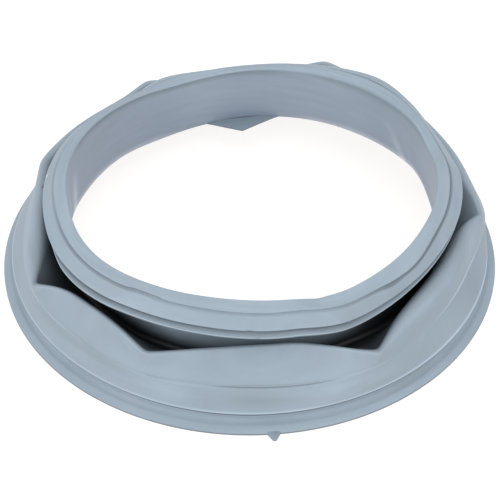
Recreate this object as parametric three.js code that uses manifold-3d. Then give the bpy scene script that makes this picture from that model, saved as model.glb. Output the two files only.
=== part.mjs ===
// Washing machine door seal: one rubber moulding that joins the tub to the front panel, lying on its tub flange.
// A folded section is carried round the ring. The head ring rolls and waves a little, as soft rubber does, and
// the outer wall of the bellows is pinched into corners where it folded flat in its box.
// Millimetres. +Z up, z = 0 under the flange, the flange's axis on Z. Azimuths in degrees, anticlockwise from +X.

import * as THREE from "three";
import { mergeVertices } from "three/addons/utils/BufferGeometryUtils.js";
import Module from "manifold-3d";

// Tub flange, which lies on the floor.
const FLANGE_RADIUS = 185;
const FLANGE_EDGE_HEIGHT = 1.4;
const FLANGE_FOOT_WIDTH = 9;
const FLANGE_WEB = 3.4;

// Clamp groove round the flange, under its ridge.
const RIDGE_HEIGHT = 13;
const RIDGE_INSET = 7;
const GROOVE_DEPTH = 2;
const GROOVE_LIP_HEIGHT = 4;

// Shoulder, the soft break between the flange band and the bellows wall.
const SHOULDER_RADIUS = 170;
const SHOULDER_HEIGHT = 30;

// Inner tube and its rounded foot, where it turns up into the bellows.
const TUBE_RADIUS = 136.5;
const TUBE_FOOT_HEIGHT = 21.5;
const TUBE_SHIFT = new THREE.Vector2(2.5, 1);
const TUBE_WALL = 3.2;
const VALLEY_WIDTH = 5.2;

// Bellows sheet and the roll at its crest.
const BELLOWS_WALL = 2.4;
const PANEL_ROLL = 4;
const CORNER_ROLL = 2.8;
const CREST_GAP = 2.4;
const CREST_RADIUS = 171;
const CREST_ANGLE = (3 / 4) * Math.PI;
const ROLL_SHARES = [0, 0.33, 0.67, 1];

// Head ring. Sizes are across its section before it rolls: width outwards, depth down from the rim.
const RIM_RADIUS = 133.5;
const RIM_ROUND = 1.6;
const HEAD_SHIFT = new THREE.Vector2(1.2, 0);
const BAND_WIDTH = 9.6;
const STEP_WIDTH = 2.4;
const STEP_DEPTH = 1.8;
const SLOPE_WIDTH = 7.8;
const SLOPE_DEPTH = 4.4;
const HEAD_GROOVE_DEPTH = 1.4;
const HEAD_GROOVE_WIDTH = 1.6;
const LIP_REACH = 3.8;
const LIP_DROP = 2;
const LIP_THICKNESS = 1.6;
const NECK_RISE = 1;

// Drain flap on the tube's foot.
const FLAP_START = 80;
const FLAP_END = 107;
const FLAP_TIP_AZIMUTH = 94;
const FLAP_REACH = 18.5;
const FLAP_THICKNESS = 2;
const FLAP_ROOT = 1.6;

// Locating tab on the flange edge.
const TAB_AZIMUTH = 275;
const TAB_WIDTH = 8.6;
const TAB_TIP_WIDTH = 3;
const TAB_REACH = 5.6;
const TAB_THICKNESS = 2;
const TAB_ROOT = 4;

// How the head ring waves: rim height and roll at each azimuth. A negative roll turns the lip down.
const HEAD_WAVE = [
  { azimuth: 0, height: 75.5, roll: -4 },
  { azimuth: 12, height: 73.5, roll: -10.5 },
  { azimuth: 24, height: 77.5, roll: -17 },
  { azimuth: 36, height: 77, roll: -3 },
  { azimuth: 48, height: 75.5, roll: 12 },
  { azimuth: 60, height: 74.5, roll: 7 },
  { azimuth: 75, height: 73, roll: -3 },
  { azimuth: 90, height: 70.5, roll: -12 },
  { azimuth: 105, height: 66.5, roll: -3 },
  { azimuth: 118, height: 65, roll: 4 },
  { azimuth: 130, height: 67.5, roll: -17 },
  { azimuth: 160, height: 71.5, roll: -14 },
  { azimuth: 190, height: 72, roll: -12 },
  { azimuth: 205, height: 66.5, roll: -3 },
  { azimuth: 218, height: 67, roll: -5 },
  { azimuth: 228, height: 69.5, roll: -7 },
  { azimuth: 240, height: 72.5, roll: -3 },
  { azimuth: 256, height: 75, roll: -10 },
  { azimuth: 265, height: 75.3, roll: -17 },
  { azimuth: 274, height: 74.5, roll: -19 },
  { azimuth: 282, height: 73, roll: -9 },
  { azimuth: 290, height: 70, roll: -11 },
  { azimuth: 298, height: 69.5, roll: -26 },
  { azimuth: 308, height: 71.5, roll: -29 },
  { azimuth: 320, height: 73.5, roll: -27 },
  { azimuth: 335, height: 76, roll: -15 },
  { azimuth: 348, height: 74.5, roll: -6 },
];

// Radius of the shoulder at each azimuth, as a share. It is drawn out under the corners.
const SHOULDER_WAVE = [
  { azimuth: 2, share: 1.036 },
  { azimuth: 20, share: 1.014 },
  { azimuth: 45, share: 0.994 },
  { azimuth: 90, share: 0.988 },
  { azimuth: 150, share: 0.988 },
  { azimuth: 185, share: 0.98 },
  { azimuth: 202, share: 1.001 },
  { azimuth: 212, share: 1.011 },
  { azimuth: 227, share: 1.003 },
  { azimuth: 244, share: 1.013 },
  { azimuth: 268, share: 0.994 },
  { azimuth: 294, share: 1.013 },
  { azimuth: 307, share: 1.008 },
  { azimuth: 322, share: 0.98 },
  { azimuth: 340, share: 0.976 },
  { azimuth: 349, share: 0.998 },
];

// Height of the tube's foot at each azimuth, as a share. It sags at the back left and lifts at the right.
const FOOT_WAVE = [
  { azimuth: 0, share: 1 },
  { azimuth: 10, share: 1.1 },
  { azimuth: 22, share: 1.36 },
  { azimuth: 33, share: 1.28 },
  { azimuth: 48, share: 1.16 },
  { azimuth: 68, share: 1.07 },
  { azimuth: 82, share: 0.98 },
  { azimuth: 105, share: 0.76 },
  { azimuth: 122, share: 0.65 },
  { azimuth: 140, share: 0.76 },
  { azimuth: 160, share: 0.77 },
  { azimuth: 178, share: 0.95 },
  { azimuth: 195, share: 1 },
  { azimuth: 345, share: 1 },
];

// Reach of the lip at each azimuth, as a share of its full reach. It tucks in under the band at the sides.
const LIP_WAVE = [
  { azimuth: 20, share: -0.4 },
  { azimuth: 160, share: -0.4 },
  { azimuth: 198, share: -0.4 },
  { azimuth: 206, share: -0.1 },
  { azimuth: 213, share: 0.8 },
  { azimuth: 235, share: 1 },
  { azimuth: 300, share: 1 },
  { azimuth: 320, share: 0.6 },
  { azimuth: 335, share: 0.2 },
  { azimuth: 350, share: -0.25 },
];

// Pinched corners of the bellows crest, each with the panel that follows it. Reach runs from 0 at the valley to
// 1 at the crest's radius, rise from 0 at the shoulder to 1 at the lip, and a higher pinch is a sharper corner.
const CORNERS = [
  { azimuth: 21, reach: 0.73, rise: 0.48, midReach: 0.69, midRise: 0.58, pinchAfter: 1.6, pinchBefore: 2 },
  { azimuth: 69, reach: 1, rise: 0.8, midReach: 0.3, midRise: 0.69, pinchAfter: 2.3, pinchBefore: 3 },
  { azimuth: 120, reach: 0.8, rise: 0.74, midReach: 0.5, midRise: 0.77, pinchAfter: 3, pinchBefore: 3 },
  { azimuth: 162.5, reach: 0.66, rise: 0.62, midReach: 0.32, midRise: 0.7, pinchAfter: 2.5, pinchBefore: 3 },
  { azimuth: 210, reach: 0.93, rise: 0.51, midReach: 0.44, midRise: 0.66, pinchAfter: 3.4, pinchBefore: 1.8 },
  { azimuth: 246, reach: 0.78, rise: 0.46, midReach: 0.19, midRise: 0.62, pinchAfter: 1.7, pinchBefore: 2.2 },
  { azimuth: 300, reach: 0.85, rise: 0.51, midReach: 0.24, midRise: 0.7, pinchAfter: 3, pinchBefore: 4 },
  { azimuth: 355.3, reach: 0.85, rise: 0.42, midReach: 0.64, midRise: 0.55, pinchAfter: 2, pinchBefore: 1.7 },
];

// Fineness of the loft: stations in a full turn, and how much they crowd towards the corners.
const STATIONS = 128;
const CROWDING = 0.35;

const FULL_TURN = 360;
const RUBBER_COLOUR = 0xa2b0bd;
const RUBBER_ROUGHNESS = 0.5;

const wasm = await Module();
wasm.setup();

const radians = THREE.MathUtils.degToRad;
const lerp = THREE.MathUtils.lerp;

// A smooth closed curve through the values of a wave's knots.
function waveAt(wave, azimuth, key) {
  const count = wave.length;
  const turned = THREE.MathUtils.euclideanModulo(azimuth, FULL_TURN);
  const start = wave.findLastIndex((knot) => knot.azimuth <= turned);
  const knots = [-1, 0, 1, 2].map((step) => {
    const index = start + step;
    const turns = Math.floor(index / count);
    const knot = wave[THREE.MathUtils.euclideanModulo(index, count)];
    return { at: knot.azimuth + turns * FULL_TURN, value: knot[key] };
  });
  const [before, from, to, after] = knots;
  const span = to.at - from.at;
  const slopeFrom = ((to.value - before.value) / (to.at - before.at)) * span;
  const slopeTo = ((after.value - from.value) / (after.at - from.at)) * span;
  const t = (turned - from.at) / span;
  const t2 = t * t;
  const t3 = t2 * t;
  return (
    (2 * t3 - 3 * t2 + 1) * from.value +
    (t3 - 2 * t2 + t) * slopeFrom +
    (3 * t2 - 2 * t3) * to.value +
    (t3 - t2) * slopeTo
  );
}

// A direction in a section: 0 points outwards from the ring's axis, 90 up.
function direction(angle) {
  return new THREE.Vector2(Math.cos(angle), Math.sin(angle));
}

// How far a loop that stands off the flange's axis reaches out at an azimuth.
function shiftAt(azimuth, shift) {
  return shift.dot(direction(radians(azimuth)));
}

// Height of the tube's foot at an azimuth.
function footAt(azimuth) {
  return TUBE_FOOT_HEIGHT * waveAt(FOOT_WAVE, azimuth, "share");
}

// The head's section, rolled about the rim. Outwards is +x and up is +y.
function headSection(azimuth) {
  const rimOut = BAND_WIDTH;
  const stepOut = rimOut + STEP_WIDTH;
  const slopeOut = stepOut + SLOPE_WIDTH;
  const slopeDown = STEP_DEPTH + SLOPE_DEPTH;
  const lipOut = slopeOut + LIP_REACH * waveAt(LIP_WAVE, azimuth, "share");
  const lipDown = slopeDown + LIP_DROP;
  const flat = [
    [0, -RIM_ROUND],
    [RIM_ROUND * (1 - Math.SQRT1_2), -RIM_ROUND * (1 - Math.SQRT1_2)],
    [RIM_ROUND, 0],
    [rimOut, 0],
    [stepOut, -STEP_DEPTH],
    [slopeOut, -slopeDown],
    [slopeOut - HEAD_GROOVE_DEPTH, -slopeDown - HEAD_GROOVE_WIDTH],
    [lipOut, -lipDown],
    [lipOut, -lipDown - LIP_THICKNESS],
  ];
  const rim = new THREE.Vector2(
    RIM_RADIUS + shiftAt(azimuth, HEAD_SHIFT),
    waveAt(HEAD_WAVE, azimuth, "height"),
  );
  const roll = radians(waveAt(HEAD_WAVE, azimuth, "roll"));
  return flat.map(([outwards, upwards]) => {
    return new THREE.Vector2(outwards, upwards).add(rim).rotateAround(rim, roll);
  });
}

// The panel of the bellows at an azimuth: its two corners, and where it stands from -1 at one to 1 at the other.
function panelAt(azimuth) {
  const count = CORNERS.length;
  const first = CORNERS[0].azimuth;
  const turned = first + THREE.MathUtils.euclideanModulo(azimuth - first, FULL_TURN);
  const index = CORNERS.findLastIndex((corner) => corner.azimuth <= turned);
  const from = CORNERS[index];
  const to = CORNERS[(index + 1) % count];
  const end = index + 1 < count ? to.azimuth : to.azimuth + FULL_TURN;
  const across = (2 * (turned - from.azimuth)) / (end - from.azimuth) - 1;
  return { from, to, across };
}

// Reach and rise of the crest, as shares.
function crestShares(azimuth) {
  const { from, to, across } = panelAt(azimuth);
  const corner = across < 0 ? from : to;
  const pinch = across < 0 ? from.pinchAfter : from.pinchBefore;
  const weight = Math.abs(across) ** pinch;
  return {
    reach: lerp(from.midReach, corner.reach, weight),
    rise: lerp(from.midRise, corner.rise, weight),
  };
}

// The angle on a roll where a straight stretch from a point leaves it: side is -1 for a stretch that comes from
// the valley and 1 for one that goes on to the shoulder.
function tangentAngle(point, centre, radius, side) {
  const towards = point.clone().sub(centre);
  const angle = THREE.MathUtils.euclideanModulo(towards.angle(), 2 * Math.PI);
  const opening = Math.acos(Math.min(radius / towards.length(), 1));
  return side < 0 ? angle - opening : angle + opening - 2 * Math.PI;
}

// The bellows over its crest roll: the upper face from the valley out to the shoulder, and the lower face.
function bellowsFaces(valley, shoulder, crest, roll) {
  const centre = crest.clone().sub(direction(CREST_ANGLE).multiplyScalar(roll));
  const start = tangentAngle(valley, centre, roll, -1);
  const end = tangentAngle(shoulder, centre, roll, 1);
  const angles = ROLL_SHARES.map((share) => lerp(start, end, share));
  const arc = (radius) => angles.map((angle) => direction(angle).multiplyScalar(radius).add(centre));
  const below = valley.clone().sub(direction(start).multiplyScalar(BELLOWS_WALL));
  return {
    upper: [valley, ...arc(roll), shoulder],
    lower: [below, ...arc(roll - BELLOWS_WALL)],
  };
}

// The closed outline of the rubber at an azimuth, up the tube, over the head and the bellows and back below.
function section(azimuth) {
  const head = headSection(azimuth);
  const lipUnder = head.at(-1);
  const tubeIn = TUBE_RADIUS + shiftAt(azimuth, TUBE_SHIFT);
  const tubeOut = tubeIn + TUBE_WALL;
  const halfValley = VALLEY_WIDTH / 2;
  const foot = footAt(azimuth);
  const floor = foot + BELLOWS_WALL;
  const valleyOut = tubeOut + VALLEY_WIDTH;

  const { reach, rise } = crestShares(azimuth);
  const shoulderRadius = SHOULDER_RADIUS * waveAt(SHOULDER_WAVE, azimuth, "share");
  const crest = new THREE.Vector2(
    lerp(tubeOut + CREST_GAP, CREST_RADIUS, reach),
    lerp(SHOULDER_HEIGHT, lipUnder.y, rise),
  );
  const valley = new THREE.Vector2(valleyOut, floor + halfValley);
  const shoulder = new THREE.Vector2(shoulderRadius, SHOULDER_HEIGHT);
  const roll = lerp(PANEL_ROLL, CORNER_ROLL, reach);
  const { upper, lower } = bellowsFaces(valley, shoulder, crest, roll);

  const ridgeRadius = FLANGE_RADIUS - RIDGE_INSET;
  const grooveRadius = ridgeRadius - GROOVE_DEPTH;
  const webRadius = grooveRadius - FLANGE_WEB;
  const grooveTop = RIDGE_HEIGHT - GROOVE_DEPTH;
  const outline = [
    [tubeIn + BELLOWS_WALL / 2, foot],
    [tubeIn, foot + BELLOWS_WALL / 2],
    ...head.map((point) => point.toArray()),
    [tubeOut + NECK_RISE, lipUnder.y + NECK_RISE],
    [tubeOut, lipUnder.y - NECK_RISE],
    [tubeOut, floor + halfValley],
    [tubeOut + halfValley, floor],
    ...upper.map((point) => point.toArray()),
    [ridgeRadius, RIDGE_HEIGHT],
    [grooveRadius, grooveTop],
    [grooveRadius, lerp(GROOVE_LIP_HEIGHT, grooveTop, 1 / 2)],
    [lerp(grooveRadius, FLANGE_RADIUS, 1 / 3), GROOVE_LIP_HEIGHT],
    [FLANGE_RADIUS, FLANGE_EDGE_HEIGHT],
    [FLANGE_RADIUS, 0],
    [FLANGE_RADIUS - FLANGE_FOOT_WIDTH, 0],
    [webRadius, GROOVE_LIP_HEIGHT],
    [webRadius, grooveTop],
    [shoulderRadius - BELLOWS_WALL, SHOULDER_HEIGHT - BELLOWS_WALL / 2],
    ...lower.reverse().map((point) => point.toArray()),
    [valleyOut - BELLOWS_WALL / 2, foot],
  ];
  const out = direction(radians(azimuth));
  return outline.map(([radius, height]) => new THREE.Vector3(radius * out.x, radius * out.y, height));
}

// Azimuths of the loft's stations: one on each corner, and the rest crowding towards the corners.
function stationAzimuths() {
  const azimuths = [];
  CORNERS.forEach((corner, index) => {
    const next = CORNERS[index + 1]?.azimuth ?? CORNERS[0].azimuth + FULL_TURN;
    const span = next - corner.azimuth;
    const steps = Math.round((STATIONS * span) / FULL_TURN);
    for (let step = 0; step < steps; step++) {
      const even = step / steps;
      const crowded = (1 - Math.cos(Math.PI * even)) / 2;
      azimuths.push(corner.azimuth + span * lerp(even, crowded, CROWDING));
    }
  });
  return azimuths;
}

// A closed ring through the sections, each joined to the next and the last to the first.
function loft(sections) {
  const rings = sections.length;
  const size = sections[0].length;
  const index = [];
  for (let ring = 0; ring < rings; ring++) {
    const here = ring * size;
    const there = ((ring + 1) % rings) * size;
    for (let point = 0; point < size; point++) {
      const next = (point + 1) % size;
      index.push(here + point, here + next, there + next);
      index.push(here + point, there + next, there + point);
    }
  }
  return new THREE.BufferGeometry().setFromPoints(sections.flat()).setIndex(index);
}

// The drain flap: a thin blade with an arched root in the tube's wall and a blunt point inwards. It follows the
// height of the tube's foot.
function flapGeometry() {
  const rootRadius = TUBE_RADIUS + FLAP_ROOT;
  const tip = radians(FLAP_TIP_AZIMUTH);
  const tipRadius = TUBE_RADIUS - FLAP_REACH;
  const outline = new THREE.Shape();
  outline.absarc(0, 0, rootRadius, radians(FLAP_START), radians(FLAP_END), false);
  outline.lineTo(tipRadius * Math.cos(tip), tipRadius * Math.sin(tip));
  const blade = new THREE.ExtrudeGeometry(outline, {
    depth: FLAP_THICKNESS,
    bevelEnabled: false,
    curveSegments: 8,
  });
  const places = blade.attributes.position;
  for (let index = 0; index < places.count; index++) {
    const azimuth = THREE.MathUtils.radToDeg(Math.atan2(places.getY(index), places.getX(index)));
    const seat = footAt(azimuth) + (BELLOWS_WALL - FLAP_THICKNESS) / 2;
    places.setZ(index, places.getZ(index) + seat);
  }
  return blade.translate(TUBE_SHIFT.x, TUBE_SHIFT.y, 0);
}

// The locating tab: a tapered block with a blunt tip, rooted in the flange's foot.
function tabGeometry() {
  const outline = new THREE.Shape([
    new THREE.Vector2(-TAB_ROOT, -TAB_WIDTH / 2),
    new THREE.Vector2(0, -TAB_WIDTH / 2),
    new THREE.Vector2(TAB_REACH, -TAB_TIP_WIDTH / 2),
    new THREE.Vector2(TAB_REACH, TAB_TIP_WIDTH / 2),
    new THREE.Vector2(0, TAB_WIDTH / 2),
    new THREE.Vector2(-TAB_ROOT, TAB_WIDTH / 2),
  ]);
  const block = new THREE.ExtrudeGeometry(outline, { depth: TAB_THICKNESS, bevelEnabled: false });
  return block.translate(FLANGE_RADIUS, 0, 0).rotateZ(radians(TAB_AZIMUTH));
}

function solidOf(geometry) {
  const bare = geometry.clone();
  bare.deleteAttribute("normal");
  bare.deleteAttribute("uv");
  const merged = mergeVertices(bare);
  return new wasm.Manifold(
    new wasm.Mesh({
      numProp: 3,
      vertProperties: merged.attributes.position.array,
      triVerts: new Uint32Array(merged.index.array),
    }),
  );
}

function geometryOf(solid) {
  const made = solid.getMesh();
  return new THREE.BufferGeometry()
    .setAttribute("position", new THREE.BufferAttribute(made.vertProperties, 3))
    .setIndex(new THREE.BufferAttribute(made.triVerts, 1));
}

const ring = solidOf(loft(stationAzimuths().map(section)));
const moulding = ring.add(solidOf(flapGeometry())).add(solidOf(tabGeometry()));
const rubber = new THREE.MeshStandardMaterial({
  color: RUBBER_COLOUR,
  roughness: RUBBER_ROUGHNESS,
  metalness: 0,
});
const seal = new THREE.Mesh(geometryOf(moulding), rubber);
seal.name = "door_seal";

const group = new THREE.Group();
group.add(seal);

export default group;
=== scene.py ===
"""Looks of the washing machine door seal: the CAD frame, the moulded rubber over it, and a plain studio.

The rubber is one section carried round the ring, as in the part's source, with its edges rounded, its crest
rolled and its creases, nicks and mould marks put in. Lengths are millimetres until the mesh is made, and
azimuths are degrees.
"""

import math

import bpy
import numpy as np
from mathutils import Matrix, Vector

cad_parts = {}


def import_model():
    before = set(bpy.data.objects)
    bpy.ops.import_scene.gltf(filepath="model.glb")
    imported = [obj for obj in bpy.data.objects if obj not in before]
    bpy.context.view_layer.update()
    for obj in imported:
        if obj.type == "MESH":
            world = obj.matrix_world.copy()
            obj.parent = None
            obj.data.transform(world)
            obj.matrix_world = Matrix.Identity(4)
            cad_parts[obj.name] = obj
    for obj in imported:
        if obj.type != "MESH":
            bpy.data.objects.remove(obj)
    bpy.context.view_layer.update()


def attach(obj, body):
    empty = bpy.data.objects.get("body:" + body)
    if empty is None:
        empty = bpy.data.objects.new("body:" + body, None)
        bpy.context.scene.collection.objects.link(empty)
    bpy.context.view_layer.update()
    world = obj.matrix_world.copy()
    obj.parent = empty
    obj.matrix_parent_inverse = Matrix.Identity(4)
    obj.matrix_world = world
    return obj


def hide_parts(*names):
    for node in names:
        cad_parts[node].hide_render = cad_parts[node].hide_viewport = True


MM = 0.001
FULL_TURN = 360.0

# Tub flange and its clamp groove.
FLANGE_RADIUS = 184.95
FLANGE_EDGE_HEIGHT = 1.4
FLANGE_FOOT_WIDTH = 9.0
FLANGE_WEB = 3.4
RIDGE_HEIGHT = 13.0
RIDGE_INSET = 7.0
GROOVE_DEPTH = 2.0
GROOVE_LIP_HEIGHT = 4.0
GROOVE_CUT = 2.2
BEAD_DROP = 3.2
BEAD_REACH = 0.9
GROOVE_SIDE_REACH = 0.2

# Shoulder between the flange band and the bellows wall.
SHOULDER_RADIUS = 170.0
SHOULDER_HEIGHT = 30.0

# Inner tube and valley.
TUBE_RADIUS = 136.5
TUBE_FOOT_HEIGHT = 21.5
TUBE_SHIFT = (2.5, 1.0)
TUBE_WALL = 3.2
VALLEY_WIDTH = 5.2

# Bellows sheet.
BELLOWS_WALL = 2.4
CREST_GAP = 2.4
CREST_RADIUS = 171.0
CREST_ANGLE = 0.75 * math.pi
PANEL_ROLL = 4.0
CORNER_ROLL = 2.8

# Head ring, across its section before it rolls.
RIM_RADIUS = 133.5
HEAD_SHIFT = (1.2, 0.0)
BAND_WIDTH = 9.6
STEP_WIDTH = 2.4
STEP_DEPTH = 1.8
STEP_UNDERCUT = 0.5
SLOPE_WIDTH = 7.8
SLOPE_DEPTH = 4.4
HEAD_GROOVE_DEPTH = 1.4
HEAD_GROOVE_WIDTH = 1.6
LIP_REACH = 3.8
LIP_DROP = 2.0
LIP_THICKNESS = 1.6

# Drain flap and locating tab.
FLAP_START = 80.0
FLAP_END = 107.0
FLAP_TIP_AZIMUTH = 94.0
FLAP_REACH = 18.5
FLAP_ROOT_DEPTH = 1.6
FLAP_THICKNESS = 2.0
FLAP_TIP_THINNING = 0.45
FLAP_EDGE_POWER = 8
FLAP_STEPS = 40
FLAP_LEVELS = 10
TAB_AZIMUTH = 275.0
TAB_WIDTH = 8.6
TAB_REACH = 5.6
TAB_ROOT = 4.0
TAB_THICKNESS = 2.0

# One side of the tab from its shoulder to its tip, drawn large and scaled to the tab's reach and width.
TAB_SIDE = [(0, 5), (2.4, 3.4), (4.6, 1.9), (5.3, 1.3), (5.6, 0.6)]

# Rim height and roll of the head ring by azimuth.
HEAD_HEIGHT = [
    (0, 75.5), (12, 73.5), (24, 77.5), (36, 77), (48, 75.5), (60, 74.5), (75, 73), (90, 70.5),
    (105, 66.5), (118, 65), (130, 67.5), (160, 71.5), (190, 72), (205, 66.5), (218, 67), (228, 69.5),
    (240, 72.5), (256, 75), (265, 75.3), (274, 74.5), (282, 73), (290, 70), (298, 69.5), (308, 71.5),
    (320, 73.5), (335, 76), (348, 74.5),
]
HEAD_ROLL = [
    (0, -4), (12, -10.5), (24, -17), (36, -3), (48, 12), (60, 7), (75, -3), (90, -12), (105, -3),
    (118, 4), (130, -17), (160, -14), (190, -12), (205, -3), (218, -5), (228, -7), (240, -3), (256, -10),
    (265, -17), (274, -19), (282, -9), (290, -11), (298, -26), (308, -29), (320, -27), (335, -15),
    (348, -6),
]

# Height of the tube's foot by azimuth, as a share.
FOOT_WAVE = [
    (0, 1), (10, 1.1), (22, 1.36), (33, 1.28), (48, 1.16), (68, 1.07), (82, 0.98), (105, 0.76),
    (122, 0.65), (140, 0.76), (160, 0.77), (178, 0.95), (195, 1), (345, 1),
]

# Reach of the lip by azimuth, as a share of its full reach.
LIP_WAVE = [
    (20, -0.4), (160, -0.4), (196, -0.4), (205, -0.1), (215, 0.75), (235, 1), (300, 1), (320, 0.6),
    (335, 0.2), (350, -0.25),
]

# Radius of the shoulder by azimuth, as a share.
SHOULDER_WAVE = [
    (2, 1.036), (20, 1.014), (45, 0.994), (90, 0.988), (150, 0.988), (185, 0.98), (202, 1.001),
    (212, 1.011), (227, 1.003), (244, 1.013), (268, 0.994), (294, 1.013), (307, 1.008), (322, 0.98),
    (340, 0.976), (349, 0.998),
]

# Corners of the crest: azimuth, reach, rise, the mid panel's reach and rise, the pinch after and before the
# corner, and over how many degrees the tip is round.
CORNERS = [
    (21, 0.73, 0.48, 0.69, 0.58, 1.6, 2, 3), (69, 1, 0.8, 0.3, 0.69, 2.3, 3, 1.6),
    (120, 0.8, 0.74, 0.5, 0.77, 3, 3, 1.4), (162.5, 0.66, 0.62, 0.32, 0.7, 2.5, 3, 2.6),
    (210, 0.93, 0.51, 0.44, 0.66, 3.4, 1.8, 0.6), (246, 0.78, 0.46, 0.19, 0.62, 1.7, 2.2, 0.9),
    (300, 0.85, 0.51, 0.24, 0.7, 3, 4, 0.7), (355.3, 0.85, 0.42, 0.64, 0.55, 2, 1.7, 0.6),
]

# Radii that change round the ring: the crest's roll, the shoulder's break and the rim's inner edge.
CREST_ROLL = [
    (6, 4.5), (21, 4.5), (69, 3.2), (120, 3.2), (156, 4), (172, 6), (188, 8), (199, 9), (205, 6.5),
    (210, 3), (218, 2.6), (246, 2.6), (270, 2.6), (298, 2.8), (308, 6), (322, 9), (340, 8), (348, 5),
    (356, 2.6),
]
SHOULDER_ROUND = [
    (0, 1), (20, 1.5), (90, 4), (150, 3), (175, 3), (215, 3), (235, 5), (250, 9), (275, 12), (295, 4.5),
    (315, 3), (335, 5), (350, 4),
]
RIM_ROUND = [
    (0, 1.2), (20, 2.2), (45, 3.6), (70, 3), (100, 1.6), (140, 1.2), (180, 1.2), (230, 1), (270, 0.8),
    (320, 0.8),
]

# Light left at the top of the fold by azimuth, on the bellows' side and on the tube's outer wall.
FOLD_LIGHT = [
    (0, 1), (30, 1), (60, 0.5), (160, 0.4), (185, 0.35), (200, 0.45), (206, 0.35), (213, 0.12), (225, 0.2),
    (240, 0.12), (252, 0.3), (270, 0.6), (285, 0.3), (297, 0.1), (330, 0.2), (346, 0.4), (354, 0.9),
]
WALL_LIGHT = [
    (0, 0.5), (60, 0.4), (200, 0.1), (222, 0.15), (235, 0.7), (250, 0.95), (275, 1), (288, 0.9), (297, 0.5),
    (306, 0.1), (340, 0.2),
]

# Height up to which the painted shade is deepest, and the height over which it fades on the tube and in the
# valley.
FOLD_SHADE_HEIGHT = 25
FOLD_SHADE_SPAN = (15, 24)

# Painted highlight streaks on the inner wall: azimuth at the foot, lean in degrees for each mm of height,
# width and strength.
# They fade over the last part of the way to their top.
WALL_HIGHLIGHT_STREAKS = [(29, 0.32, 2.0, 0.5), (24, 0.2, 1.0, 0.16), (171, -0.05, 2.5, 0.7), (178, 0, 1.2, 0.3)]
STREAK_FOOT = 26
STREAK_TOP = 58
STREAK_FADE = 30
INNER_WALL_TOP = 70

# Forms on the skirt, where 0 is the crest, 1 the shoulder and 2 the ridge. Broad ones: height, place and
# width down the skirt, and from and to which azimuth, with how soft an end. Local ones: height, place and
# width down the skirt, azimuth and width round it.
SKIRT_BROAD = [(-0.9, 0.45, 0.32, 222, 296, 24), (0.8, 1.3, 0.3, 240, 296, 22)]
SKIRT_LOCAL = [
    (0.8, 0.8, 0.4, 232, 8), (-0.5, 1.2, 0.25, 240, 7), (0.7, 1.35, 0.3, 251, 6), (0.6, 1.3, 0.3, 289, 5),
]

# Depth of the two creases across the front, from the row before their bottom to the row after it.
LONG_CREASE = (0.35, 0.8, 0.35)
FAINT_CREASE = (0.1, 0.3, 0.1)

# Painted highlights on the skirt, and painted shade on the front within them: azimuth, width and strength.
SKIRT_HIGHLIGHTS_AND_SHADE = [(252, 5, 0.16), (289, 5.5, 0.14), (271, 9, -0.12), (300, 8, 0.05)]

# Stations round the ring, how far they crowd towards the corners, and points over the crest's roll.
STATIONS = 548
CROWDING = 0.35
CREST_STEPS = 9

# Rubber: its two shades, the range of its roughness, how far the streaks shade it, and its small parts.
RUBBER_DARK = (0.325, 0.398, 0.468, 1)
RUBBER_LIGHT = (0.362, 0.434, 0.502, 1)
RUBBER_ROUGHNESS = (0.4, 0.58)
STREAK_SHADE = (0.94, 1.06)
# The flap's three tints are painted shade.
SMALL_PART_TINT = {"flap": 0.75, "flap_root": 0.42, "flap_edge": 0.55, "tab": 0.84}

# Studio, in metres and watts. Lamps: name, place, target, size and power.
LAMPS = [
    ("overhead", (0.1, 0.25, 1.5), (0, 0, 0), (1.5, 1.2), 9),
    ("front_left", (-1.1, -1.0, 0.9), (0, 0, 0.04), (0.9, 0.9), 7),
    ("front_right", (1.1, -0.9, 0.9), (0, 0, 0.04), (0.9, 0.9), 4.4),
    ("low_left", (-0.95, -1.45, 0.4), (-0.05, -0.16, 0.02), (0.4, 0.3), 3),
    ("low_right", (1.0, -1.45, 0.38), (0.05, -0.16, 0.02), (0.4, 0.3), 1.6),
]
FLOOR_HALF = 6.0
PAPER_COLOUR = (0.82, 0.79, 0.77, 1)
PAPER_SHOWN_COLOUR = (0.18, 0.196, 0.2, 1)
PAPER_GLOW_COLOUR = (1, 0.975, 0.962, 1)
PAPER_GLOW = 0.91
WORLD_COLOUR = (0.93, 0.97, 1.0, 1)
WORLD_STRENGTH = 0.5
CAMERA_LENS = 94.84
CAMERA_ELEVATION = 42.4
CAMERA_DISTANCE = 1.0
CAMERA_TARGET = (0.0003, -0.0038, 0.0)


def smooth_knots(knots, azimuths):
    """A smooth closed curve through the knots, at these azimuths."""
    at = np.array([k[0] for k in knots], float)
    value = np.array([k[1] for k in knots], float)
    at = np.concatenate([[at[-1] - FULL_TURN], at, [at[0] + FULL_TURN, at[1] + FULL_TURN]])
    value = np.concatenate([[value[-1]], value, value[:2]])
    turned = np.mod(azimuths - at[1], FULL_TURN) + at[1]
    start = np.searchsorted(at, turned, side="right") - 1
    start = np.clip(start, 1, len(at) - 3)
    span = at[start + 1] - at[start]
    slope_from = (value[start + 1] - value[start - 1]) / (at[start + 1] - at[start - 1]) * span
    slope_to = (value[start + 2] - value[start]) / (at[start + 2] - at[start]) * span
    t = (turned - at[start]) / span
    return (
        (2 * t**3 - 3 * t**2 + 1) * value[start]
        + (t**3 - 2 * t**2 + t) * slope_from
        + (3 * t**2 - 2 * t**3) * value[start + 1]
        + (t**3 - t**2) * slope_to
    )


def lerp(a, b, t):
    return a + (b - a) * t


def station_azimuths():
    """Azimuths of the stations, which crowd towards the corners."""
    made = []
    for index, corner in enumerate(CORNERS):
        last = index + 1 == len(CORNERS)
        end = CORNERS[0][0] + FULL_TURN if last else CORNERS[index + 1][0]
        span = end - corner[0]
        steps = round(STATIONS * span / FULL_TURN)
        even = np.arange(steps) / steps
        crowded = (1 - np.cos(np.pi * even)) / 2
        made.append(corner[0] + span * lerp(even, crowded, CROWDING))
    return np.concatenate(made)


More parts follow.
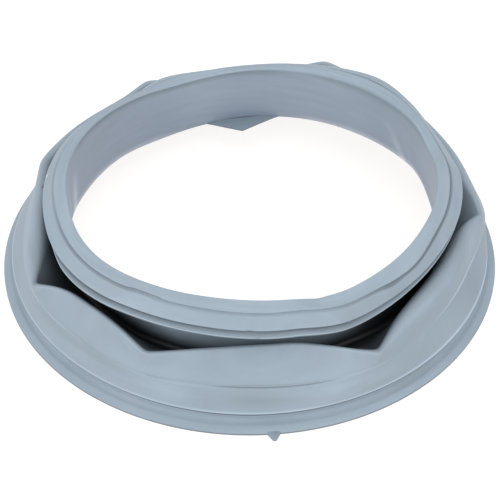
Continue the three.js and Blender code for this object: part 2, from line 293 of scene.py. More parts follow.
def crest_shares(azimuths):
    """Reach and rise of the crest at each azimuth, as shares."""
    first = CORNERS[0][0]
    turned = first + np.mod(azimuths - first, FULL_TURN)
    reach = np.zeros_like(turned)
    rise = np.zeros_like(turned)
    for index, start in enumerate(CORNERS):
        end = CORNERS[(index + 1) % len(CORNERS)]
        at_end = end[0] if index + 1 < len(CORNERS) else end[0] + FULL_TURN
        here = (turned >= start[0]) & (turned < at_end)
        half = (at_end - start[0]) / 2
        across = (turned[here] - start[0]) / half - 1
        near_start = across < 0
        tip = np.where(near_start, start[7], end[7])
        away = (1 - np.abs(across)) * half
        away = np.sqrt(away**2 + tip**2) - tip
        pinch = np.where(near_start, start[5], start[6])
        weight = np.clip(1 - away / half, 0, 1) ** pinch
        reach[here] = lerp(start[3], np.where(near_start, start[1], end[1]), weight)
        rise[here] = lerp(start[4], np.where(near_start, start[2], end[2]), weight)
    return reach, rise


def foot_at(azimuths):
    """Height of the tube's foot at these azimuths."""
    return TUBE_FOOT_HEIGHT * smooth_knots(FOOT_WAVE, azimuths)


def direction(angle):
    return np.stack([np.cos(angle), np.sin(angle)], axis=-1)


def tangent_angle(point, centre, radius, side):
    """The angle on a roll where a straight stretch leaves it.

    Side is -1 towards the valley and 1 towards the shoulder.
    """
    towards = point - centre
    length = np.linalg.norm(towards, axis=1)
    angle = np.mod(np.arctan2(towards[:, 1], towards[:, 0]), 2 * np.pi)
    opening = np.arccos(np.clip(radius / length, 0, 1))
    return angle - opening if side < 0 else angle + opening - 2 * np.pi


def fillet(before, corner, after, radius, count):
    """Points that round a corner of the section at every station."""
    towards_before = before - corner
    towards_after = after - corner
    length_before = np.linalg.norm(towards_before, axis=1)
    length_after = np.linalg.norm(towards_after, axis=1)
    towards_before = towards_before / length_before[:, None]
    towards_after = towards_after / length_after[:, None]
    cosine = np.clip((towards_before * towards_after).sum(axis=1), -0.9999, 0.9999)
    cut = radius * np.sqrt((1 + cosine) / (1 - cosine))
    cut = np.minimum(cut, 0.46 * np.minimum(length_before, length_after))
    start = corner + towards_before * cut[:, None]
    end = corner + towards_after * cut[:, None]
    steps = np.linspace(0, 1, count)
    return [start * (1 - t) ** 2 + corner * 2 * t * (1 - t) + end * t**2 for t in steps]


azimuths = station_azimuths()
count = len(azimuths)
out = direction(np.radians(azimuths))

tube_in = TUBE_RADIUS + out @ np.array(TUBE_SHIFT)
tube_out = tube_in + TUBE_WALL
valley_out = tube_out + VALLEY_WIDTH
half_valley = VALLEY_WIDTH / 2
foot_height = foot_at(azimuths)
floor_height = foot_height + BELLOWS_WALL
rim_radius = RIM_RADIUS + out @ np.array(HEAD_SHIFT)
rim_height = smooth_knots(HEAD_HEIGHT, azimuths)
roll = np.radians(smooth_knots(HEAD_ROLL, azimuths))


def pair(radius, height):
    """Radius and height of a point at every station."""
    return np.stack([np.broadcast_to(radius, count), np.broadcast_to(height, count)], axis=1).astype(float)


def near(azimuth, width):
    """1 at an azimuth, falling off smoothly over a width in degrees."""
    away = np.mod(azimuths - azimuth + FULL_TURN / 2, FULL_TURN) - FULL_TURN / 2
    return np.exp(-((away / width) ** 2))


def between(start, end, soft):
    """1 between two azimuths, with soft ends."""
    middle = (start + end) / 2
    away = np.abs(np.mod(azimuths - middle + FULL_TURN / 2, FULL_TURN) - FULL_TURN / 2)
    t = np.clip((away - (end - start) / 2) / soft + 0.5, 0, 1)
    return 1 - t * t * (3 - 2 * t)


# The step line jogs inwards at the front left, and at the front right it runs further out and its
# riser opens into a lens.
jog = 1.5 * between(243, 300, 4.5)
lens = 1.5 * near(311, 3.2)
wide = 2.6 * near(319, 9)
step_in = BAND_WIDTH - 1.3 * between(236, 246, 3) + 0.2 * jog + 0.2 * lens + wide
step_out = BAND_WIDTH + STEP_WIDTH - 0.9 * between(238, 244, 3) + 0.2 * jog + 1.3 * lens + wide


def on_head(outwards, downwards):
    """A point of the head's section at every station, rolled about the rim."""
    x = np.broadcast_to(outwards, count).astype(float)
    y = -np.broadcast_to(downwards, count).astype(float)
    return np.stack(
        [
            rim_radius + x * np.cos(roll) - y * np.sin(roll),
            rim_height + x * np.sin(roll) + y * np.cos(roll),
        ],
        axis=1,
    )


slope_out = BAND_WIDTH + STEP_WIDTH + SLOPE_WIDTH
slope_down = STEP_DEPTH + SLOPE_DEPTH
lip_out = slope_out + LIP_REACH * smooth_knots(LIP_WAVE, azimuths)
lip_down = slope_down + LIP_DROP
# The rim's edge has a slight kink at the front right.
rim = on_head(0, 0.9 * near(289.5, 2))
step_top = on_head(step_in, 0)
step_foot = on_head(step_out, STEP_DEPTH)
band_edge = on_head(slope_out, slope_down)
head_groove = on_head(slope_out - HEAD_GROOVE_DEPTH, slope_down + HEAD_GROOVE_WIDTH)
lip_top = on_head(lip_out, lip_down)
lip_under = on_head(lip_out, lip_down + LIP_THICKNESS)
neck = pair(tube_out, lip_under[:, 1])

reach, rise = crest_shares(azimuths)
shoulder_radius = SHOULDER_RADIUS * smooth_knots(SHOULDER_WAVE, azimuths)
crest = np.stack(
    [lerp(tube_out + CREST_GAP, CREST_RADIUS, reach), lerp(SHOULDER_HEIGHT, lip_under[:, 1], rise)], axis=1
)
valley_side = pair(tube_out, floor_height + half_valley)
valley_floor = pair(tube_out + half_valley, floor_height)
valley = pair(valley_out, floor_height + half_valley)
shoulder = pair(shoulder_radius, SHOULDER_HEIGHT)
crest_roll = smooth_knots(CREST_ROLL, azimuths)
frame_roll = lerp(PANEL_ROLL, CORNER_ROLL, reach)
# Where the roll is wider or tighter than the frame's, the edge that shows from the front keeps its place.
seen_edge = np.radians(90 - 60 * np.clip(1.8 * out[:, 1], -0.7, 1))
centre = crest - direction(np.full(count, CREST_ANGLE)) * frame_roll[:, None]
centre = centre + direction(seen_edge) * (frame_roll - crest_roll)[:, None]
arc_start = tangent_angle(valley, centre, crest_roll, -1)
arc_end = tangent_angle(shoulder, centre, crest_roll, 1)
arc_shares = np.linspace(0, 1, CREST_STEPS)
inner_shares = (1, 0.67, 0.33, 0)
inner_roll = np.maximum(crest_roll - BELLOWS_WALL, 0.3)
upper_arc = [centre + direction(lerp(arc_start, arc_end, t)) * crest_roll[:, None] for t in arc_shares]
lower_arc = [centre + direction(lerp(arc_start, arc_end, t)) * inner_roll[:, None] for t in inner_shares]
below_valley = valley - direction(arc_start) * BELLOWS_WALL

ridge_radius = FLANGE_RADIUS - RIDGE_INSET
groove_radius = ridge_radius - GROOVE_DEPTH
web_radius = groove_radius - FLANGE_WEB
groove_top = RIDGE_HEIGHT - GROOVE_DEPTH
groove_side_height = lerp(GROOVE_LIP_HEIGHT, groove_top, 0.4)
shoulder_in = pair(shoulder_radius - BELLOWS_WALL, SHOULDER_HEIGHT - BELLOWS_WALL / 2)

# The section's corners in order: place, name, radius of the rounding, points on it, and points on the
# stretch after it.
corners = [
    (pair(tube_in, foot_height), "foot", 1.2, 5, 9),
    (rim, "rim", smooth_knots(RIM_ROUND, azimuths), 8, 4),
    (step_top, "step_top", 0.35, 3, 0),
    (on_head(step_in - STEP_UNDERCUT, STEP_DEPTH * 0.55), "step_cut", 0.3, 3, 1),
    (step_foot, "step_foot", 0.4, 3, 4),
    (band_edge, "band_edge", 0.45, 4, 0),
    (head_groove, "head_groove", 0.4, 4, 1),
    (lip_top, "lip_top", 0.5, 4, 0),
    (lip_under, "lip_under", 0.5, 4, 2),
    (neck, "neck", 2.0, 4, 6),
    (valley_side, "valley_side", 1.5, 3, 0),
    (valley_floor, "valley_floor", 1.5, 3, 0),
    (valley, "valley", 1.5, 3, 7),
    *[(point, "crest", 0, 1, 0) for point in upper_arc[:-1]],
    (upper_arc[-1], "crest", 0, 1, 10),
    (shoulder, "shoulder", smooth_knots(SHOULDER_ROUND, azimuths), 9, 9),
    (pair(ridge_radius, RIDGE_HEIGHT), "ridge", 0.4, 3, 1),
    (pair(groove_radius, RIDGE_HEIGHT - GROOVE_CUT), "groove", 0.3, 3, 0),
    (pair(groove_radius + BEAD_REACH, RIDGE_HEIGHT - BEAD_DROP), "bead", 0.5, 3, 1),
    (pair(groove_radius + GROOVE_SIDE_REACH, groove_side_height), "groove_side", 2.0, 3, 0),
    (pair(lerp(groove_radius, FLANGE_RADIUS, 1 / 3), GROOVE_LIP_HEIGHT), "flange_root", 2, 4, 3),
    (pair(FLANGE_RADIUS, FLANGE_EDGE_HEIGHT), "flange_edge", 0.4, 3, 0),
    (pair(FLANGE_RADIUS, 0), "flange_foot", 0.3, 2, 1),
    (pair(FLANGE_RADIUS - FLANGE_FOOT_WIDTH, 0), "foot_in", 0.6, 2, 0),
    (pair(web_radius, GROOVE_LIP_HEIGHT), "web_low", 1, 2, 0),
    (pair(web_radius, groove_top), "web_high", 1, 2, 2),
    (shoulder_in, "shoulder_in", 3, 4, 3),
    *[(point, "crest_in", 0, 1, 0) for point in lower_arc[:-1]],
    (lower_arc[-1], "crest_in", 0, 1, 3),
    (below_valley, "below_valley", 1, 2, 0),
    (pair(valley_out - BELLOWS_WALL / 2, foot_height), "foot_out", 1, 2, 1),
]

roundings = []
for index, (corner, _, radius, arc, _) in enumerate(corners):
    before = corners[index - 1][0]
    after = corners[(index + 1) % len(corners)][0]
    roundings.append([corner] if arc == 1 else fillet(before, corner, after, radius, arc))

# Each row of the grid has its corner's name, and its share of the stretch after that corner.
grid = []
names = []
shares = []
for index, rounded in enumerate(roundings):
    _, name, _, _, stretch = corners[index]
    following = roundings[(index + 1) % len(roundings)][0]
    along = [(step + 1) / (stretch + 1) for step in range(stretch)]
    grid += rounded + [lerp(rounded[-1], following, share) for share in along]
    names += [name] * (len(rounded) + stretch)
    shares += [0.0] * len(rounded) + along
grid = np.array(grid)
names = np.array(names)
shares = np.array(shares)
rows = len(grid)


def normals_of(section):
    """Unit normals out of the rubber, in the section's plane."""
    along = np.roll(section, -1, axis=0) - np.roll(section, 1, axis=0)
    made = np.stack([-along[..., 1], along[..., 0]], axis=-1)
    return made / np.maximum(np.linalg.norm(made, axis=-1, keepdims=True), 1e-9)


def rows_of(name):
    return np.flatnonzero(names == name)


# Where each row lies on the skirt: from the crest (0) past the shoulder (1) to the ridge (2).
skirt = np.full(rows, -np.inf)
crest_rows = rows_of("crest")[:CREST_STEPS]
panel_rows = rows_of("crest")[CREST_STEPS - 1 :]
skirt[panel_rows] = shares[panel_rows]
shoulder_rows = rows_of("shoulder")
skirt[shoulder_rows] = np.where(shares[shoulder_rows] > 0, 1 + shares[shoulder_rows], 1.0)
on_arc = shoulder_rows[shares[shoulder_rows] == 0]
below_shoulder = shoulder_rows[len(on_arc) :]
skirt[on_arc] = 1 + np.linspace(-0.12, 0.12, len(on_arc))
skirt[rows_of("ridge")[:4]] = 2.0


def row_near(value, width):
    return np.exp(-(((skirt - value) / width) ** 2))


crease_row = on_arc[len(on_arc) // 2 + 1]
second_row = on_arc[2]
# How far the surface is pushed out. The front panel sags a little under its crest.
push = np.zeros((rows, count))
for height, down, width, start, end, soft in SKIRT_BROAD:
    push += height * row_near(down, width)[:, None] * between(start, end, soft)[None, :]
for step in (-1, 0, 1):
    push[crease_row + step] -= LONG_CREASE[step + 1] * between(262, 288, 7)
    push[second_row + step] -= FAINT_CREASE[step + 1] * between(266, 287, 9)
# Nicks at the front, in the band's edge and in the lip.
push[rows_of("band_edge")] -= 0.5 * near(270, 0.7)
push[rows_of("lip_top")] -= 0.4 * near(272, 0.7)
for height, down, width, azimuth, spread in SKIRT_LOCAL:
    push += height * row_near(down, width)[:, None] * near(azimuth, spread)[None, :]
grid = grid + normals_of(grid) * push[..., None]

# The same points in space.
places = np.empty((rows, count, 3))
places[..., :2] = grid[..., :1] * out[None]
places[..., 2] = grid[..., 1]


def add_mesh(name, vertices, faces):
    mesh = bpy.data.meshes.new(name)
    mesh.from_pydata(vertices, [], faces)
    mesh.validate()
    made = bpy.data.objects.new(name, mesh)
    bpy.context.collection.objects.link(made)
    mesh.shade_smooth()
    return made


def ring_faces():
    """Quads that join the rows in both directions."""
    row, station = np.meshgrid(np.arange(rows), np.arange(count), indexing="ij")
    next_row = (row + 1) % rows
    next_station = (station + 1) % count
    quads = np.stack(
        [
            row * count + station,
            next_row * count + station,
            next_row * count + next_station,
            row * count + next_station,
        ],
        axis=-1,
    )
    return quads.reshape(-1, 4)


def node(tree, kind, place, **settings):
    made = tree.nodes.new(kind)
    made.location = place
    for key, value in settings.items():
        setattr(made, key, value)
    return made


def wiped_streaks(tree, place):
    """Noise drawn out along the ring: it changes fast with radius and height, and slowly with azimuth."""
    link = tree.links.new
    apart = node(tree, "ShaderNodeSeparateXYZ", (-1700, -250))
    link(place, apart.inputs["Vector"])
    flat = node(tree, "ShaderNodeVectorMath", (-1700, -400), operation="MULTIPLY")
    flat.inputs[1].default_value = (1, 1, 0)
    link(place, flat.inputs[0])
    radius = node(tree, "ShaderNodeVectorMath", (-1500, -400), operation="LENGTH")
    link(flat.outputs["Vector"], radius.inputs[0])
    ahead = node(tree, "ShaderNodeVectorMath", (-1500, -550), operation="NORMALIZE")
    link(flat.outputs["Vector"], ahead.inputs[0])
    along = node(tree, "ShaderNodeVectorMath", (-1300, -550), operation="SCALE")
    along.inputs["Scale"].default_value = 3.0
    link(ahead.outputs["Vector"], along.inputs[0])
    across = node(tree, "ShaderNodeMath", (-1300, -400), operation="MULTIPLY_ADD")
    across.inputs[1].default_value = 0.7
    link(apart.outputs["Z"], across.inputs[0])
    link(radius.outputs["Value"], across.inputs[2])
    fine = node(tree, "ShaderNodeMath", (-1100, -400), operation="MULTIPLY")
    fine.inputs[1].default_value = 320.0
    link(across.outputs["Value"], fine.inputs[0])
    made = node(tree, "ShaderNodeTexNoise", (-900, -250), noise_dimensions="4D")
    made.inputs["Scale"].default_value = 1.0
    made.inputs["Detail"].default_value = 4.0
    link(along.outputs["Vector"], made.inputs["Vector"])
    link(fine.outputs["Value"], made.inputs["W"])
    return made


def rubber_material():
    """Blue grey moulded rubber: a soft bloom, wiped streaks, a tint for each vertex and a satin grain."""
    made = bpy.data.materials.new("rubber_blue_grey")
    made.use_nodes = True
    tree = made.node_tree
    link = tree.links.new
    shader = tree.nodes["Principled BSDF"]
    shader.inputs["Metallic"].default_value = 0.0
    shader.inputs["IOR"].default_value = 1.5
    shader.inputs["Specular IOR Level"].default_value = 0.35
    place = node(tree, "ShaderNodeTexCoord", (-1200, 0))

    bloom = node(tree, "ShaderNodeTexNoise", (-900, 200))
    bloom.inputs["Scale"].default_value = 14.0
    bloom.inputs["Detail"].default_value = 4.0
    bloom.inputs["Roughness"].default_value = 0.55
    link(place.outputs["Object"], bloom.inputs["Vector"])
    colour = node(tree, "ShaderNodeValToRGB", (-650, 200))
    colour.color_ramp.elements[0].position = 0.3
    colour.color_ramp.elements[0].color = RUBBER_DARK
    colour.color_ramp.elements[1].position = 0.72
    colour.color_ramp.elements[1].color = RUBBER_LIGHT
    link(bloom.outputs["Fac"], colour.inputs["Fac"])

    smear = wiped_streaks(tree, place.outputs["Object"])
    streak = node(tree, "ShaderNodeMapRange", (-650, 0))
    streak.inputs["From Min"].default_value = 0.3
    streak.inputs["From Max"].default_value = 0.7
    streak.inputs["To Min"].default_value = STREAK_SHADE[0]
    streak.inputs["To Max"].default_value = STREAK_SHADE[1]
    link(smear.outputs["Fac"], streak.inputs["Value"])
    streaked = node(tree, "ShaderNodeVectorMath", (-500, 200), operation="SCALE")
    link(colour.outputs["Color"], streaked.inputs[0])
    link(streak.outputs["Result"], streaked.inputs["Scale"])

    tint = node(tree, "ShaderNodeAttribute", (-650, -50), attribute_name="tint")
    tinted = node(tree, "ShaderNodeMix", (-380, 150), data_type="RGBA", blend_type="MULTIPLY")
    tinted.inputs["Factor"].default_value = 1.0
    link(streaked.outputs["Vector"], tinted.inputs["A"])
    link(tint.outputs["Color"], tinted.inputs["B"])
    link(tinted.outputs["Result"], shader.inputs["Base Color"])

    gloss = node(tree, "ShaderNodeMapRange", (-650, -250))
    gloss.inputs["From Min"].default_value = 0.3
    gloss.inputs["From Max"].default_value = 0.7
    gloss.inputs["To Min"].default_value = RUBBER_ROUGHNESS[0]
    gloss.inputs["To Max"].default_value = RUBBER_ROUGHNESS[1]
    link(smear.outputs["Fac"], gloss.inputs["Value"])
    link(gloss.outputs["Result"], shader.inputs["Roughness"])

    grain = node(tree, "ShaderNodeTexNoise", (-900, -500))
    grain.inputs["Scale"].default_value = 900.0
    grain.inputs["Detail"].default_value = 3.0
    link(place.outputs["Object"], grain.inputs["Vector"])
    flow = node(tree, "ShaderNodeTexNoise", (-900, -700))
    flow.inputs["Scale"].default_value = 60.0
    flow.inputs["Detail"].default_value = 2.0
    link(place.outputs["Object"], flow.inputs["Vector"])
    fine = node(tree, "ShaderNodeBump", (-380, -500))
    fine.inputs["Strength"].default_value = 0.12
    fine.inputs["Distance"].default_value = 0.0002
    link(grain.outputs["Fac"], fine.inputs["Height"])
    broad = node(tree, "ShaderNodeBump", (-380, -700))
    broad.inputs["Strength"].default_value = 0.25
    broad.inputs["Distance"].default_value = 0.0006
    link(flow.outputs["Fac"], broad.inputs["Height"])
    link(broad.outputs["Normal"], fine.inputs["Normal"])
    link(fine.outputs["Normal"], shader.inputs["Normal"])
    return made


def paint(made, colours):
    """A tint for each vertex, which the rubber multiplies its own colour by."""
    layer = made.data.color_attributes.new("tint", "FLOAT_COLOR", "POINT")
    flat = np.ones((len(made.data.vertices), 4), np.float32)
    flat[:, :3] = colours
    layer.data.foreach_set("color", flat.ravel())


def flap_mesh():
    """The drain flap: a thin blade with rounded edges, an arched root in the tube and a blunt point."""
    start_angle = math.radians(FLAP_START)
    end_angle = math.radians(FLAP_END)
    root_radius = TUBE_RADIUS + FLAP_ROOT_DEPTH
    first = root_radius * direction(start_angle)
    last = root_radius * direction(end_angle)
    apex = (TUBE_RADIUS - FLAP_REACH) * direction(math.radians(FLAP_TIP_AZIMUTH))
    vertices = []
    for side in (1, -1):
        for level in range(FLAP_LEVELS + 1):
            share = level / FLAP_LEVELS
            thin = 1 - FLAP_TIP_THINNING * share
            rounded = math.sqrt(1 - share**FLAP_EDGE_POWER)
            for step in range(FLAP_STEPS + 1):
                t = step / FLAP_STEPS
                root = root_radius * direction(lerp(start_angle, end_angle, t))
                edge = lerp(first, apex, 2 * t) if t < 0.5 else lerp(apex, last, 2 * t - 1)
                place = lerp(root, edge, share)
                azimuth = np.array([math.degrees(math.atan2(place[1], place[0]))])
                seat = foot_at(azimuth)[0] + (BELLOWS_WALL - FLAP_THICKNESS) / 2
                height = seat + FLAP_THICKNESS / 2 * (1 + side * thin * rounded)
                vertices.append((place[0] + TUBE_SHIFT[0], place[1] + TUBE_SHIFT[1], height))
    wide = FLAP_STEPS + 1
    sheet = wide * (FLAP_LEVELS + 1)
    faces = []
    for level in range(FLAP_LEVELS):
        for step in range(FLAP_STEPS):
            a = level * wide + step
            faces.append((a, a + wide, a + wide + 1, a + 1))
            faces.append((sheet + a, sheet + a + 1, sheet + a + wide + 1, sheet + a + wide))
    for step in range(FLAP_STEPS):
        faces.append((step, step + 1, sheet + step + 1, sheet + step))
    return np.array(vertices), faces


def flap_tint():
    """The flap lies in the tube's shade, which is deepest at its root and along its edge."""
    level = np.repeat(np.arange(FLAP_LEVELS + 1), FLAP_STEPS + 1)
    share = np.tile(level / FLAP_LEVELS, 2)
    at_root = np.where(share < 0.15, SMALL_PART_TINT["flap_root"], 1)
    at_edge = np.where(share == 1, SMALL_PART_TINT["flap_edge"], 1)
    return SMALL_PART_TINT["flap"] * at_root * at_edge


def tab_mesh():
    """The locating tab: a tapered block with rounded edges and a blunt tip."""
    drawn_reach = TAB_SIDE[-1][0]
    drawn_width = 2 * TAB_SIDE[0][1]
    side = [(x / drawn_reach * TAB_REACH, y / drawn_width * TAB_WIDTH) for x, y in TAB_SIDE]
    side = [(-TAB_ROOT, TAB_WIDTH / 2)] + side
    outline = side + [(x, -y) for x, y in reversed(side)]
    turn = math.radians(TAB_AZIMUTH)
    # Height of each layer, and how far its edge is set in.
    layers = [
        (0.0, 0.35),
        (0.35, 0.0),
        (TAB_THICKNESS - 0.6, 0.0),
        (TAB_THICKNESS - 0.15, 0.3),
        (TAB_THICKNESS, 0.8),
    ]
    vertices = []
    for height, inset in layers:
        for x, y in outline:
            across = y - math.copysign(min(inset, abs(y) * 0.6), y)
            radius = FLANGE_RADIUS + (x - inset if x > 0 else x)
            vertices.append(
                (
                    radius * math.cos(turn) - across * math.sin(turn),
                    radius * math.sin(turn) + across * math.cos(turn),
                    height,
                )
            )
    size = len(outline)
    faces = [tuple(range(size)), tuple(reversed(range(len(vertices) - size, len(vertices))))]
    for layer in range(len(layers) - 1):
        for step in range(size):
            a = layer * size + step
            b = layer * size + (step + 1) % size
            faces.append((a, a + size, b + size, b))
    return np.array(vertices), faces


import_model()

# The tint of each vertex: painted highlights on the edges, and painted shade in the valley, the grooves and
# at the foot of the flange.
tint = np.ones((rows, count, 3))


def lighten(row_index, amount, mask=None):
    shade = np.ones(count) if mask is None else mask
    tint[row_index] *= (1 + amount * shade)[None, :, None]


def darken(row_index, share):
    tint[row_index] *= share


def paint_edge_light_and_shade():
    """Painted highlights on the edges of the lip, the ridge, the band and the shoulder, and painted shade
    just below the shoulder at the front left.
    """
    for name, amount in (("lip_top", 0.24), ("ridge", 0.4), ("band_edge", 0.06)):
        on_edge = rows_of(name)
        lighten(on_edge[shares[on_edge] == 0][:3], amount)
    sides = between(165, 224, 14) + between(324, 372, 20) + 0.35 * between(296, 318, 12)
    lighten(on_arc[2:-2], 0.42, sides)
    lighten(rows_of("ridge")[:3], 0.2, between(300, 370, 16))
    lighten(below_shoulder[:3], -0.06, between(210, 262, 16))


def shade_head():
    """Painted shade in the steps and grooves of the head ring, under its rim and lip, and in the groove and
    at the root of the flange.
    """
    front = 0.6 * between(245, 300, 20)
    right = 0.4 * between(315, 440, 20)
    left = 0.5 * between(135, 200, 20)
    lighten(rows_of("step_cut"), -0.34, 1 - front + right - left)
    lighten(rows_of("rim")[:2], -0.26, between(80, 165, 20) + 0.6 * between(15, 70, 20))
    lighten(rows_of("step_cut"), -0.2, near(311, 4))
    darken(rows_of("head_groove")[:3], 0.5)
    darken(rows_of("bead")[:3], 0.95)
    lighten(rows_of("groove")[:3], -0.5, 1 + 0.3 * between(215, 320, 20))
    lighten(below_shoulder, -0.08, between(165, 200, 14) + between(336, 376, 14))
    darken(rows_of("head_groove")[3:], 0.62)
    darken(rows_of("lip_top")[:1], 0.66)
    # The lip's face is painted darker than its edge, as shade.
    lip_face = 0.72 - 0.08 * between(215, 262, 14)
    darken(rows_of("lip_top")[3], lip_face[:, None])
    darken(rows_of("lip_under")[:2], lip_face[:, None])
    darken(rows_of("lip_under")[2:], 0.6)
    darken(rows_of("flange_root")[:4], 0.88)


def mark_flecks():
    """A pale fleck on the band's edge at the left and a dark one on the bellows below it."""
    lighten(np.append(rows_of("step_foot")[-1:], rows_of("band_edge")), 0.7, near(177, 0.6))
    lighten(crest_rows[3:5], -0.7, near(176, 0.5))


def paint_fold_shade():
    """Painted shade in the fold: it deepens down the tube's outer wall and over the crest to the valley."""
    deepest = 0.05 + 0.25 * between(352, 415, 10)
    for name in ("lip_under", "neck", "valley_side", "valley_floor", "valley"):
        index = rows_of(name)
        in_valley = name.startswith("valley")
        depth = np.clip((places[index, :, 2] - FOLD_SHADE_HEIGHT) / FOLD_SHADE_SPAN[in_valley], 0, 1)
        upper = smooth_knots(FOLD_LIGHT if in_valley else WALL_LIGHT, azimuths)
        tint[index] *= lerp(deepest, upper, depth * depth * (3 - 2 * depth))[..., None]
    folded = between(165, 352, 12)
    for step, row in enumerate(crest_rows):
        light = lerp(0.8 * smooth_knots(FOLD_LIGHT, azimuths), 1, min(step / 6, 1) ** 0.8)
        darken(row, lerp(1, light, folded)[:, None])


def shade_creases():
    """Painted shade in the bottoms of the two creases across the front."""
    depths = ((crease_row - 1, 0.15), (crease_row, 0.32), (crease_row + 1, 0.15), (second_row, 0.2))
    for row, depth in depths:
        darken(row, (1 - depth * between(263, 288, 7))[:, None])


def paint_inner_wall_light():
    """Painted light on the inner wall: a warmer cast from the floor, highlight streaks at both sides and a
    pale foot there.
    """
    inner = np.flatnonzero((names == "foot") & (places[:, 0, 2] < INNER_WALL_TOP))
    tint[inner] *= np.array([1.04, 1.0, 1.03])
    tint[inner] *= 1 + (0.07 * between(100, 150, 30) + 0.05 * between(35, 70, 30))[None, :, None]
    height = places[inner, :, 2]
    low = np.clip((STREAK_TOP - height) / STREAK_FADE, 0, 1)
    for foot, lean, width, amount in WALL_HIGHLIGHT_STREAKS:
        away = azimuths[None, :] - foot - lean * (height - STREAK_FOOT)
        streaks = amount * low * np.exp(-((away / width) ** 2))
        tint[inner] *= 1 + streaks[..., None] * np.array([1.0, 0.84, 0.7])
    pale = 0.6 * (between(118, 176, 16) + between(8, 72, 16))
    tint[rows_of("foot")[2:5]] *= 1 + pale[None, :, None] * np.array([1.0, 0.78, 0.6])


def paint_skirt_highlights_and_shade():
    """Painted highlights on the swellings of the skirt, and painted shade on the front between them."""
    across = np.sin(np.clip((skirt - 0.9) / 1.1, 0, 1) * np.pi)
    across = np.where((skirt > 0.9) & (skirt < 2), across, 0)
    for azimuth, width, amount in SKIRT_HIGHLIGHTS_AND_SHADE:
        tint[:] *= 1 + amount * (across[:, None] * near(azimuth, width)[None, :])[..., None]


def shade_flange():
    """Painted shade on the flange's foot, and along the shallow fold that runs down from the shoulder at
    the front left.
    """
    tint[rows_of("flange_edge")[1:]] *= np.array([0.66, 0.62, 0.6])
    tint[rows_of("flange_foot")] *= np.array([0.4, 0.38, 0.38])
    lighten(on_arc[:4], -0.08, between(218, 262, 12))


paint_edge_light_and_shade()
shade_head()
mark_flecks()
paint_fold_shade()
shade_creases()
paint_inner_wall_light()
paint_skirt_highlights_and_shade()
shade_flange()

seal = add_mesh("moulded_rubber", places.reshape(-1, 3) * MM, ring_faces().tolist())
paint(seal, tint.reshape(-1, 3))
flap_vertices, flap_faces = flap_mesh()
flap = add_mesh("drain_flap", flap_vertices * MM, flap_faces)
paint(flap, flap_tint()[:, None])
tab_vertices, tab_faces = tab_mesh()
tab = add_mesh("locating_tab", tab_vertices * MM, tab_faces)
paint(tab, SMALL_PART_TINT["tab"])

rubber = rubber_material()
for piece in (seal, flap, tab):
    piece.data.materials.append(rubber)
    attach(piece, "root")
    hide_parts("door_seal")


def seen_directly(tree):
    """1 for what the camera sees, also in a mirror or through glass, and 0 for light on the object."""
    link = tree.links.new
    path = node(tree, "ShaderNodeLightPath", (-200, 400))
    seen = node(tree, "ShaderNodeMath", (0, 300), operation="MAXIMUM")
    link(path.outputs["Is Camera Ray"], seen.inputs[0])
    link(path.outputs["Is Glossy Ray"], seen.inputs[1])
    seen_too = node(tree, "ShaderNodeMath", (180, 300), operation="MAXIMUM")
    link(seen.outputs["Value"], seen_too.inputs[0])
    link(path.outputs["Is Transmission Ray"], seen_too.inputs[1])
    return seen_too.outputs["Value"]


def floor_material():
    """White paper that the camera sees as white, with the object's shadow kept on it."""
    made = bpy.data.materials.new("studio_paper")
    made.use_nodes = True
    tree = made.node_tree
    tree.nodes.clear()
    link = tree.links.new
    output = node(tree, "ShaderNodeOutputMaterial", (600, 0))
    paper = node(tree, "ShaderNodeBsdfDiffuse", (-200, 100))
    paper.inputs["Color"].default_value = PAPER_COLOUR
    shown = node(tree, "ShaderNodeBsdfDiffuse", (-200, -50))
    shown.inputs["Color"].default_value = PAPER_SHOWN_COLOUR
    glow = node(tree, "ShaderNodeEmission", (-200, -200))
    glow.inputs["Color"].default_value = PAPER_GLOW_COLOUR
    glow.inputs["Strength"].default_value = PAPER_GLOW
    lit = node(tree, "ShaderNodeAddShader", (0, -100))
    link(shown.outputs["BSDF"], lit.inputs[0])
    link(glow.outputs["Emission"], lit.inputs[1])
    mixed = node(tree, "ShaderNodeMixShader", (400, 0))
    link(seen_directly(tree), mixed.inputs["Fac"])
    link(paper.outputs["BSDF"], mixed.inputs[1])
    link(lit.outputs["Shader"], mixed.inputs[2])
    link(mixed.outputs["Shader"], output.inputs["Surface"])
    return made


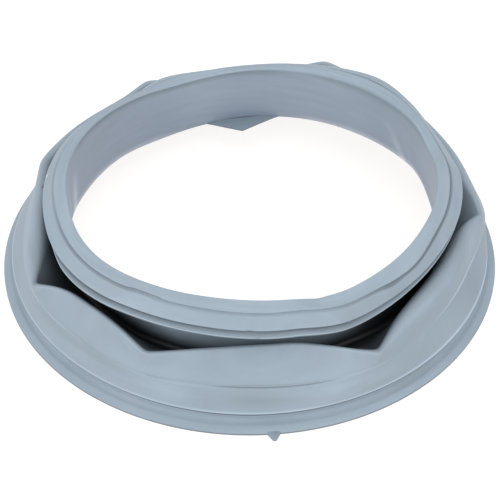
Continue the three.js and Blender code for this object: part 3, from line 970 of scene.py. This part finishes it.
def add_floor():
    half = FLOOR_HALF
    corners = [(-half, -half, 0), (half, -half, 0), (half, half, 0), (-half, half, 0)]
    floor = add_mesh("floor", corners, [(0, 1, 2, 3)])
    floor.data.materials.append(floor_material())


def add_lamp(name, place, target, size, power):
    lamp = bpy.data.lights.new(name, "AREA")
    lamp.shape = "RECTANGLE"
    lamp.size, lamp.size_y = size
    lamp.energy = power
    made = bpy.data.objects.new(name, lamp)
    made.location = place
    made.rotation_euler = (Vector(target) - Vector(place)).to_track_quat("-Z", "Y").to_euler()
    bpy.context.collection.objects.link(made)


def add_world():
    """A white surround that lights the object at half strength."""
    world = bpy.data.worlds.new("studio")
    bpy.context.scene.world = world
    world.use_nodes = True
    tree = world.node_tree
    tree.nodes.clear()
    link = tree.links.new
    output = node(tree, "ShaderNodeOutputWorld", (400, 0))
    dim = node(tree, "ShaderNodeBackground", (0, 100))
    dim.inputs["Color"].default_value = WORLD_COLOUR
    dim.inputs["Strength"].default_value = WORLD_STRENGTH
    white = node(tree, "ShaderNodeBackground", (0, -100))
    white.inputs["Strength"].default_value = 1.0
    mixed = node(tree, "ShaderNodeMixShader", (200, 0))
    link(seen_directly(tree), mixed.inputs["Fac"])
    link(dim.outputs["Background"], mixed.inputs[1])
    link(white.outputs["Background"], mixed.inputs[2])
    link(mixed.outputs["Shader"], output.inputs["Surface"])


def add_camera():
    data = bpy.data.cameras.new("camera")
    data.sensor_fit = "HORIZONTAL"
    data.sensor_width = 36
    data.lens = CAMERA_LENS
    made = bpy.data.objects.new("camera", data)
    elevation = math.radians(CAMERA_ELEVATION)
    forward = Vector((0, math.cos(elevation), -math.sin(elevation)))
    made.location = Vector(CAMERA_TARGET) - CAMERA_DISTANCE * forward
    made.rotation_euler = forward.to_track_quat("-Z", "Y").to_euler()
    bpy.context.collection.objects.link(made)
    bpy.context.scene.camera = made


add_floor()
add_world()
for lamp_settings in LAMPS:
    add_lamp(*lamp_settings)
add_camera()
bpy.context.scene.view_settings.view_transform = "Standard"
